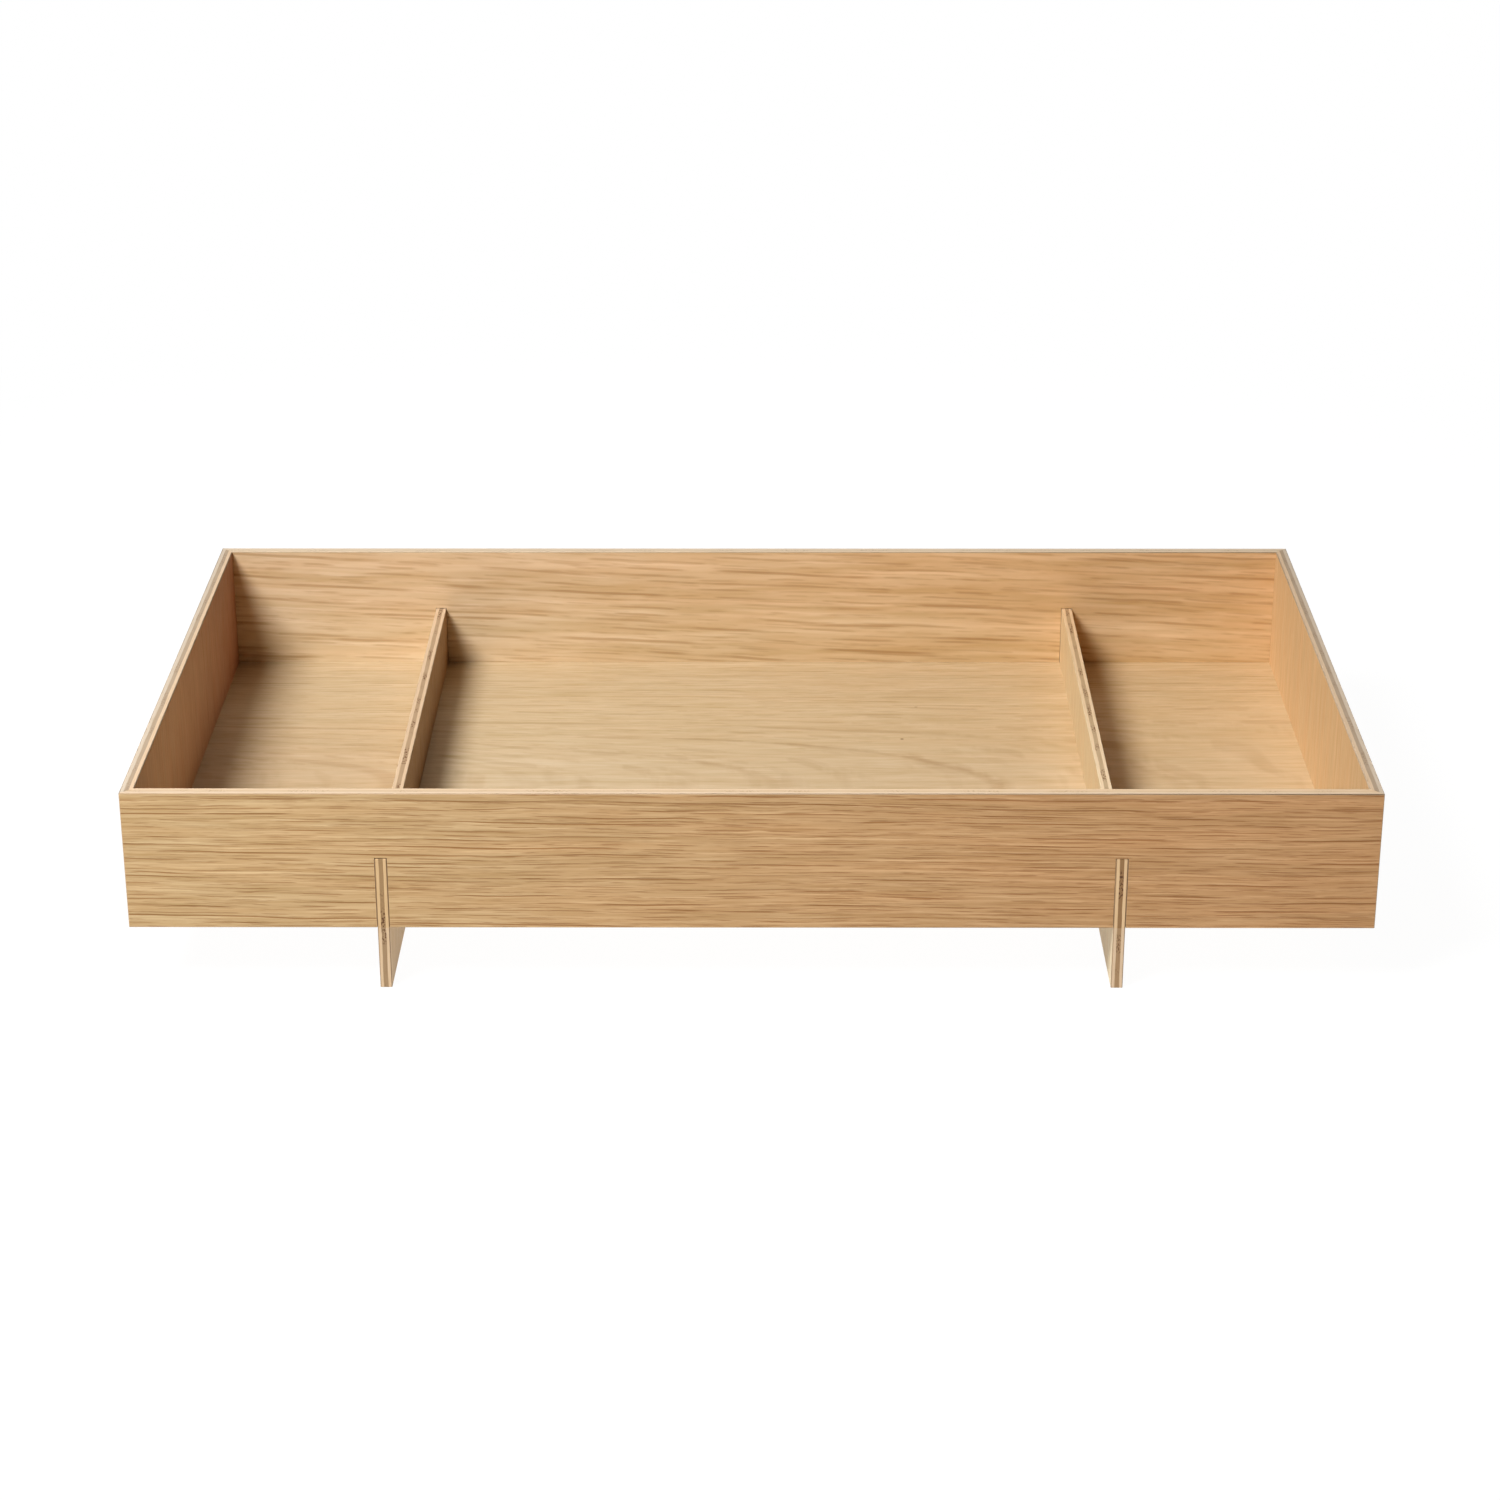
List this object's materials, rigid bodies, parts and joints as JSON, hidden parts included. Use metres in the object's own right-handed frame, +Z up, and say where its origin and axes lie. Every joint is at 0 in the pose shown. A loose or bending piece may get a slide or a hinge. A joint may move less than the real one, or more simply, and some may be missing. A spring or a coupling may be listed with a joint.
{
  "type": "tray",
  "caption": "Shallow rectangular wooden tray with mitred walls, an open top split by low dividers that pass through the walls and stand on as full-depth runner feet.",
  "frame": {"origin": "under the middle of the tray, on the surface that its runner feet stand on", "axes": "+X along the tray to the right, +Y from the front wall to the back wall, +Z up"},
  "size_m": [0.53, 0.3, 0.091],
  "materials": {
    "oak_wall": "satin lacquered oak veneer with pale plywood edges",
    "oak_plate": "satin lacquered oak veneer with pale plywood edges",
    "oak_floor": "satin lacquered pale oak veneer"
  },
  "bodies": {
    "root": {"front_wall": "oak_wall", "back_wall": "oak_wall", "left_wall": "oak_wall", "right_wall": "oak_wall", "left_divider": "oak_plate", "right_divider": "oak_plate", "floor_left": "oak_floor", "floor_centre": "oak_floor", "floor_right": "oak_floor"}
  },
  "joints": []
}
